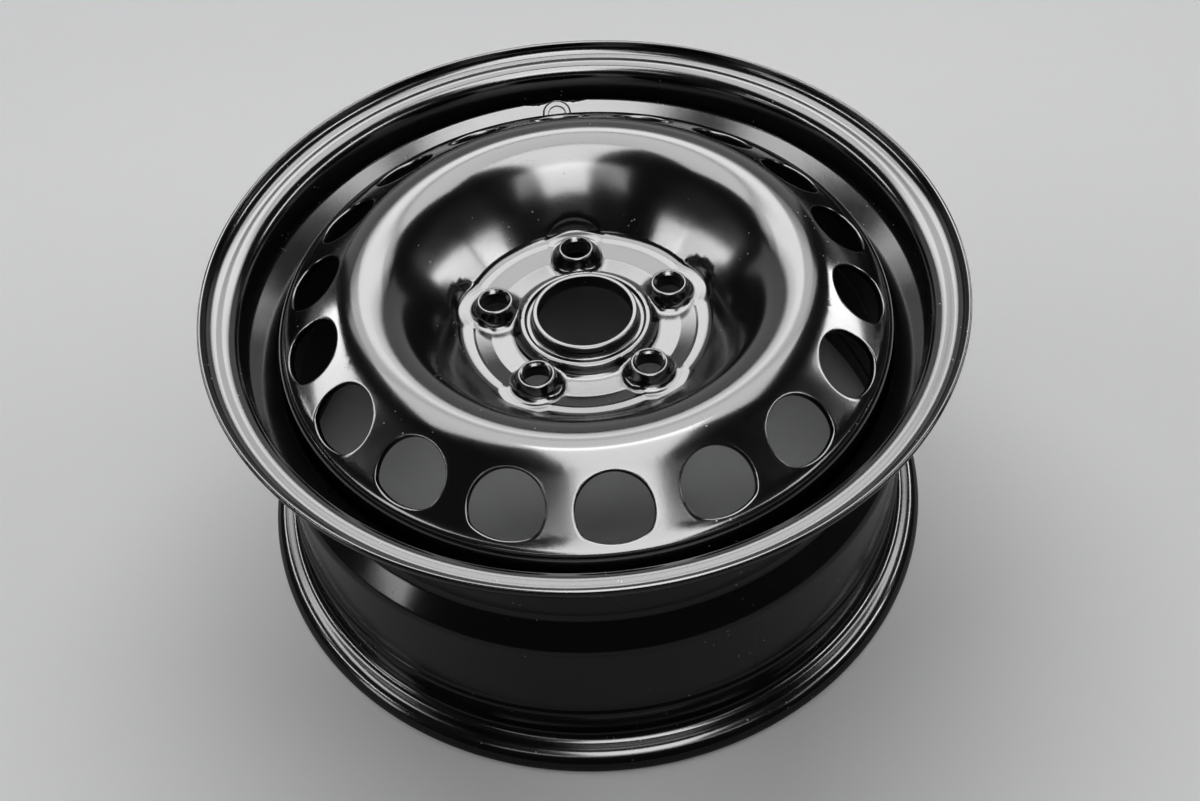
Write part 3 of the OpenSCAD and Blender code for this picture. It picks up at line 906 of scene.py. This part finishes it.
def seam_tree():
    """Geometry Nodes: one arc weld bead along an arc round the axis, with its ripples."""
    tree = bpy.data.node_groups.new("weld_bead", "GeometryNodeTree")
    sockets = {}
    for name, kind, default in (
            ("Radius", "NodeSocketFloat", 0.18), ("Height", "NodeSocketFloat", 0.0),
            ("Start", "NodeSocketFloat", 0.0), ("Sweep", "NodeSocketFloat", 0.3),
            ("Leg", "NodeSocketFloat", 0.0036), ("Ripples", "NodeSocketFloat", 38.0),
            ("Seed", "NodeSocketFloat", 1.0), ("Enamel", "NodeSocketMaterial", None)):
        item = tree.interface.new_socket(name, in_out="INPUT", socket_type=kind)
        if default is not None:
            item.default_value = default
        sockets[name] = item.identifier
    tree.interface.new_socket("Bead", in_out="OUTPUT", socket_type="NodeSocketGeometry")
    nodes = Nodes(tree)
    given = {socket.name: Value(nodes, socket) for socket in tree.nodes.new("NodeGroupInput").outputs}
    path = nodes.node("GeometryNodeCurveArc", {"mode": "RADIUS"}, {
        "Resolution": 220, "Radius": given["Radius"], "Start Angle": given["Start"],
        "Sweep Angle": given["Sweep"]})
    lift = nodes.node("ShaderNodeCombineXYZ", None, {"Z": given["Height"]})
    placed = nodes.node("GeometryNodeSetPosition", None, {"Geometry": path, "Offset": lift})
    along = nodes.node("GeometryNodeSplineParameter", output="Factor")
    wave = (along * given["Ripples"] * 6.2832).maths("SINE")
    place = nodes.node("GeometryNodeInputPosition")
    noise = nodes.node("ShaderNodeTexNoise", {"noise_dimensions": "4D"}, {
        "Vector": place, "W": given["Seed"], "Scale": 160.0, "Detail": 2.0})
    # The bead is a little thinner than its leg, ripples along its way, and gets slim at its ends
    to_end = 1.0 - (along * 2.0 - 1.0).maths("ABSOLUTE")
    taper =(to_end * 14.0).maths("POWER", 0.5).maths("MINIMUM", 1.0)
    size = (wave * 0.022 + (noise - 0.5) * 0.16 + 0.86) * (taper * 0.65 + 0.35)
    shaped = nodes.node("GeometryNodeSetCurveRadius", None, {"Curve": placed, "Radius": size})
    section = nodes.node("GeometryNodeCurveArc", {"mode": "RADIUS"}, {
        "Resolution": 9, "Radius": given["Leg"], "Start Angle": math.pi / 2,
        "Sweep Angle": math.pi / 2, "Connect Center": True})
    swept = nodes.node("GeometryNodeCurveToMesh", None, {
        "Curve": shaped, "Profile Curve": section, "Fill Caps": True})
    real = nodes.node("GeometryNodeRealizeInstances", None, {"Geometry": swept})
    coated = nodes.node("GeometryNodeSetMaterial", None, {
        "Geometry": real, "Material": given["Enamel"]})
    nodes.node("NodeGroupOutput", None, {"Bead": coated})
    return tree, sockets


def build_seam(number, sizes, form, tree, sockets, material):
    """One weld bead as a plain mesh, between the end of the disc's skirt and the well."""
    name = f"weld_bead_{number}"
    holder = bpy.data.objects.new(name, bpy.data.meshes.new(name))
    bpy.context.scene.collection.objects.link(holder)
    bead = holder.modifiers.new("bead", "NODES")
    bead.node_group = tree
    sweep = sizes.seam_length / form.skirt_r
    middle = math.pi / 2 + (number - 0.5) * 2 * math.pi / sizes.count
    for key, value in (("Radius", form.skirt_r), ("Height", form.skirt_end),
                       ("Start", middle - sweep / 2), ("Sweep", sweep), ("Leg", sizes.leg),
                       ("Ripples", sizes.seam_length / sizes.ripple), ("Seed", float(number)),
                       ("Enamel", material)):
        bead[sockets[key]] = value
    evaluated = holder.evaluated_get(bpy.context.evaluated_depsgraph_get())
    mesh = bpy.data.meshes.new_from_object(evaluated)
    holder.modifiers.clear()
    holder.data = mesh
    mesh.name = name
    close_mesh(mesh, merge=1e-7)
    finish_mesh(mesh, material)
    hand_over(holder, [f"weld_seam_{number}"])


# Materials

class Finish(Nodes):
    """Builds one material's nodes."""

    def __init__(self, name):
        self.material = bpy.data.materials.new(name)
        self.material.use_nodes = True
        super().__init__(self.material.node_tree)

    def place(self):
        return self.node("ShaderNodeTexCoord", output="Object")

    def noise(self, place, scale, detail=2.0, roughness=0.5, distortion=0.0):
        return self.node("ShaderNodeTexNoise", None, {
            "Vector": place, "Scale": scale, "Detail": detail, "Roughness": roughness,
            "Distortion": distortion})

    def mix(self, factor, first, second):
        """A colour between two. A Mix node's colours are its inputs 6 and 7 and its output 2."""
        first, second = (c if isinstance(c, Value) else (*c, 1.0) for c in (first, second))
        return self.node("ShaderNodeMix", {"data_type": "RGBA"}, {0: factor, 6: first, 7: second}, 2)

    def surface(self, values):
        """Ends the tree with its shader, and gives the material."""
        shader = self.node("ShaderNodeBsdfPrincipled", None, values)
        self.node("ShaderNodeOutputMaterial", None, {"Surface": shader})
        return self.material


def enamel(name, look, rougher=0.0, coarser=0.0, grit=0.0):
    """Black dip enamel over pressed steel: orange peel, soft patches, dust specks and dry scuffs."""
    f = Finish(name)
    place = f.place()
    fine = f.noise(place, 900.0, 2.0, 0.55)
    drawn = f.noise(place, 210.0, 3.0, 0.6)
    patch = f.noise(place, 26.0, 4.0, 0.55, 0.3)
    wipe = f.noise(place, 70.0, 5.0, 0.7, 0.6)
    dots = f.node("ShaderNodeTexVoronoi", {"feature": "F1"}, {"Vector": place, "Scale": 210.0},
                  output="Distance")
    sparse = f.noise(place, 33.0, 2.0, 0.6)
    specks = (1.0 - dots.above(0.10, 0.04)) * sparse.above(0.60, 0.03)
    dusty = patch.above(0.66, 0.10) * 0.008
    tone = f.mix(specks * 0.45 + dusty, look.tone, look.dust)
    rough = look.gloss + rougher + (patch - 0.5) * 0.06 + (wipe - 0.5) * 0.05 + specks * 0.3
    height = fine * 0.5 + drawn * (0.6 + grit)
    normal = f.node("ShaderNodeBump", None, {
        "Strength": look.orange_peel + coarser, "Distance": 0.0004, "Height": height})
    return f.surface({"Base Color": tone, "Roughness": rough, "Normal": normal, "IOR": 1.5})


def paper_floor(look):
    """Pale paper with painted light and shade: lighter towards the front, where the wheel's shade falls,
    and darker where the enamel mirrors it, as painted shade in its reflections.
    """
    f = Finish("paper_floor")
    place = f.place()
    tone = f.mix(f.noise(place, 3.0, 2.0) * 0.1, look.paper, [c * 0.94 for c in look.paper])
    # Painted light: the paper is painted up to 1.28 times lighter towards the front, to lift the wheel's
    # shade there
    back = f.node("ShaderNodeSeparateXYZ", None, {"Vector": place}, output="Y").above(0.0, 0.6)
    tone = f.mix(back, [c * 1.28 for c in look.paper], tone)
    # Painted shade: rays mirrored by the enamel see the paper at 0.4 of its colour, as if the floor near
    # the wheel were in shade
    mirrored = f.node("ShaderNodeLightPath", output="Is Glossy Ray")
    tone = f.mix(mirrored, tone, [c * 0.4 for c in look.paper])
    return f.surface({"Base Color": tone, "Roughness": 0.9})


# Studio

# Name, place, direction, lean, width and height, and brightness of each lamp, and whether it
# lights the studio or is only mirrored in the enamel
LAMPS = (
    ("back_softbox", (0.0, 1.25, 1.81), (0, -1.25, -1.81), 0, (2.5, 0.82), 5.0, True),
    ("left_softbox", (-2.1, 0.1, 1.0), (2.1, -0.1, -1.0), 0, (2.0, 0.9), 3.6, True),
    ("right_softbox", (2.1, 0.1, 1.0), (-2.1, -0.1, -1.0), 0, (2.0, 0.9), 3.6, True),
    ("top_card", (0.05, -0.25, 0.65), (0, 0, -1), 0, (0.34, 0.70), 16.0, False),
    ("top_back_card", (0.0, 0.51, 1.37), (0, 0, -1), 0, (1.74, 0.79), 11.0, False),
    ("back_card", (0.0, 0.62, 0.66), (0, -1, 0), 0, (0.56, 0.28), 6.5, False),
    ("back_wide_card", (0.0, 0.81, 0.90), (0, -1, 0), 0, (1.25, 0.57), 3.2, False),
    ("back_low_card", (0.0, 0.57, 0.18), (0, -1, 0), 0, (1.0, 0.44), 0.9, False),
    ("back_high_card", (0.0, 1.47, 1.75), (0, -1, 0), 0, (2.98, 0.74), 5.0, False),
    ("front_card", (0.0, -1.17, 1.50), (0, 1, 0), 0, (1.97, 0.22), 8.0, False),
    ("left_card", (-0.60, 0.21, 0.22), (1, 0, 0), 0.25, (0.45, 0.09), 15.0, False),
    ("left_front_card", (-1.02, -0.23, 0.54), (1, 0, 0), 0.43, (0.45, 0.07), 27.0, False),
    ("left_side_card", (-1.17, -0.53, 0.27), (1, 0, 0), 0, (0.3, 0.29), 6.0, False),
    ("right_card", (0.61, 0.16, 0.21), (-1, 0, 0), -0.3, (0.40, 0.09), 17.0, False),
    ("right_front_card", (0.98, -0.34, 0.50), (-1, 0, 0), -0.43, (0.48, 0.13), 25.0, False),
    ("right_side_card", (0.78, -0.58, 0.51), (-1, 0, 0), 0, (0.33, 0.12), 5.0, False),
)


def lay_floor(scene, look):
    """A wide sheet of paper under the wheel."""
    half, low = 4.0, cad_box[0][2]
    mesh = bpy.data.meshes.new("paper_floor")
    mesh.from_pydata([(-half, -half, low), (half, -half, low), (half, half, low), (-half, half, low)],
                     [], [(0, 1, 2, 3)])
    mesh.materials.append(paper_floor(look))
    floor = bpy.data.objects.new("paper_floor", mesh)
    scene.collection.objects.link(floor)


def hang_lamps(scene, look):
    """The softboxes, and the cards that only the enamel mirrors."""
    for name, place, faces, lean, size, brightness, lights in LAMPS:
        lamp = bpy.data.lights.new(name, "AREA")
        lamp.shape = "RECTANGLE"
        lamp.size, lamp.size_y = size
        lamp.energy = brightness * look.key * math.pi * size[0] * size[1]
        holder = bpy.data.objects.new(name, lamp)
        holder.visible_camera = False
        holder.visible_diffuse = lights
        holder.visible_glossy = not lights
        holder.location = place
        turn = Vector(faces).to_track_quat("-Z", "Y").to_matrix() @ Matrix.Rotation(lean, 3, "Z")
        holder.rotation_euler = turn.to_euler()
        scene.collection.objects.link(holder)


def paint_room(scene, look):
    """The room's own faint light, and the pale wall that the camera sees."""
    world = bpy.data.worlds.new("studio_room")
    world.use_nodes = True
    nodes = Nodes(world.node_tree)
    room = nodes.node("ShaderNodeBackground", None, {"Color": (0.5, 0.5, 0.5, 1), "Strength": look.fill})
    wall = nodes.node("ShaderNodeBackground", None, {"Color": (0.62, 0.62, 0.62, 1)})
    seen = nodes.node("ShaderNodeLightPath", output="Is Camera Ray")
    choice = nodes.node("ShaderNodeMixShader", None, [seen, room, wall])
    nodes.node("ShaderNodeOutputWorld", None, {"Surface": choice})
    scene.world = world


def place_camera(scene, look):
    camera = bpy.data.objects.new("camera", bpy.data.cameras.new("camera"))
    camera.data.lens = look.lens
    camera.data.sensor_width = 36
    camera.data.clip_start = 0.01
    camera.location = look.camera_at
    camera.rotation_euler = look.camera_turn
    scene.collection.objects.link(camera)
    scene.camera = camera


# Operators

def settings(context):
    return context.scene.steel_wheel


def rim_form(s):
    return RimForm(s.rim, s.disc.offset)


def disc_form(s):
    return DiscForm(s.disc, rim_form(s))


class WHEEL_OT_rim(bpy.types.Operator):
    """Make the rolled rim with its valve hole and butt weld"""

    bl_idname = "wheel.make_rim"
    bl_label = "Make Rim"

    def execute(self, context):
        s = settings(context)
        build_rim(rim_form(s), enamel("rim_enamel", s.enamel))
        return {"FINISHED"}


class WHEEL_OT_disc(bpy.types.Operator):
    """Make the pressed disc with its vents, bolt bosses and hub collar"""

    bl_idname = "wheel.make_disc"
    bl_label = "Make Disc"

    def execute(self, context):
        s = settings(context)
        build_disc(disc_form(s), enamel("disc_enamel", s.enamel))
        return {"FINISHED"}


class WHEEL_OT_seams(bpy.types.Operator):
    """Make the weld seams between disc and rim"""

    bl_idname = "wheel.make_seams"
    bl_label = "Make Weld Seams"

    def execute(self, context):
        s = settings(context)
        form = disc_form(s)
        material = enamel("weld_enamel", s.enamel, rougher=0.12, coarser=0.45, grit=1.2)
        tree, sockets = seam_tree()
        for number in range(1, s.seams.count + 1):
            build_seam(number, s.seams, form, tree, sockets, material)
        return {"FINISHED"}


class WHEEL_OT_stage(bpy.types.Operator):
    """Lay the paper floor and set the lamps and the camera"""

    bl_idname = "wheel.set_stage"
    bl_label = "Set Stage"

    def execute(self, context):
        look = settings(context).studio
        scene = context.scene
        lay_floor(scene, look)
        hang_lamps(scene, look)
        paint_room(scene, look)
        scene.view_settings.view_transform = "Standard"
        place_camera(scene, look)
        return {"FINISHED"}


class WHEEL_PT_panel(bpy.types.Panel):
    """Lists the steps that build the wheel"""

    bl_idname = "WHEEL_PT_panel"
    bl_label = "Steel Wheel"
    bl_space_type = "VIEW_3D"
    bl_region_type = "UI"
    bl_category = "Wheel"

    def draw(self, context):
        for step in STEPS:
            self.layout.operator(step.bl_idname)
        s = settings(context)
        for group in (s.rim, s.disc, s.seams, s.enamel, s.studio):
            box = self.layout.box()
            for key in group.bl_rna.properties.keys():
                if key not in ("rna_type", "name"):
                    box.prop(group, key)


class WheelSettings(bpy.types.PropertyGroup):
    """Everything that a user would change."""

    rim: bpy.props.PointerProperty(name="Rim", description="Contour of the rim", type=RimSizes)
    disc: bpy.props.PointerProperty(name="Disc", description="Form of the disc", type=DiscSizes)
    seams: bpy.props.PointerProperty(name="Seams", description="Weld seams", type=SeamSizes)
    enamel: bpy.props.PointerProperty(name="Enamel", description="Black enamel", type=EnamelLook)
    studio: bpy.props.PointerProperty(name="Studio", description="Floor and lamps", type=StudioLook)


STEPS = (WHEEL_OT_rim, WHEEL_OT_disc, WHEEL_OT_seams, WHEEL_OT_stage)
CLASSES = (RimSizes, DiscSizes, SeamSizes, EnamelLook, StudioLook, WheelSettings, *STEPS, WHEEL_PT_panel)


def register():
    for cls in CLASSES:
        bpy.utils.register_class(cls)
    bpy.types.Scene.steel_wheel = bpy.props.PointerProperty(
        name="Steel wheel", description="Settings of the steel wheel", type=WheelSettings)


def unregister():
    del bpy.types.Scene.steel_wheel
    for cls in reversed(CLASSES):
        bpy.utils.unregister_class(cls)


def main():
    register()
    bpy.ops.wheel.make_rim()
    bpy.ops.wheel.make_disc()
    bpy.ops.wheel.make_seams()
    bpy.ops.wheel.set_stage()
    bpy.context.view_layer.update()


if __name__ == "__main__":
    main()
